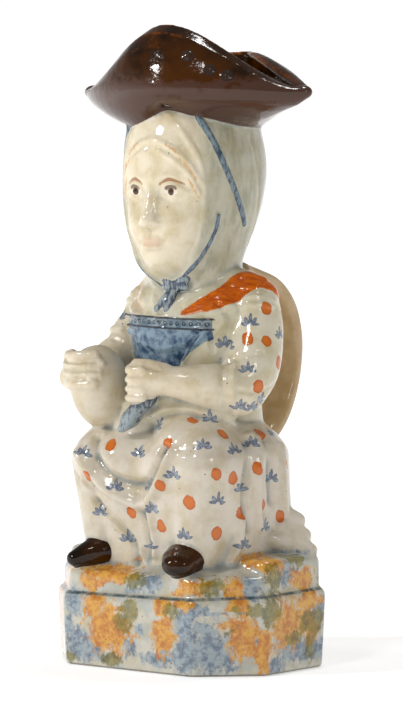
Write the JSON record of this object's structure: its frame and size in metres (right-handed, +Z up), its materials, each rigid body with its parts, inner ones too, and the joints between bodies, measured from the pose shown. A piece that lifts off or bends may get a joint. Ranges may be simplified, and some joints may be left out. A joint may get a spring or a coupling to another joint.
{
  "type": "toby jug",
  "caption": "Hollow press-moulded pottery jug in the form of a seated woman in a cocked hat, holding a flask, with a strap handle at the back and a stepped canted base",
  "frame": {"origin": "centre of the flat underside of the base, on the surface the jug stands on", "axes": "+Z up, the figure faces -Y, her left hand is on +X, the handle is on +Y"},
  "size_m": [0.1212, 0.1054, 0.2605],
  "materials": {
    "glazed_pearlware": "cream-white lead glaze over earthenware, painted under the glaze in ochre orange, cobalt blue, olive and treacle brown"
  },
  "bodies": {
    "root": {"jug": "glazed_pearlware"}
  },
  "joints": []
}
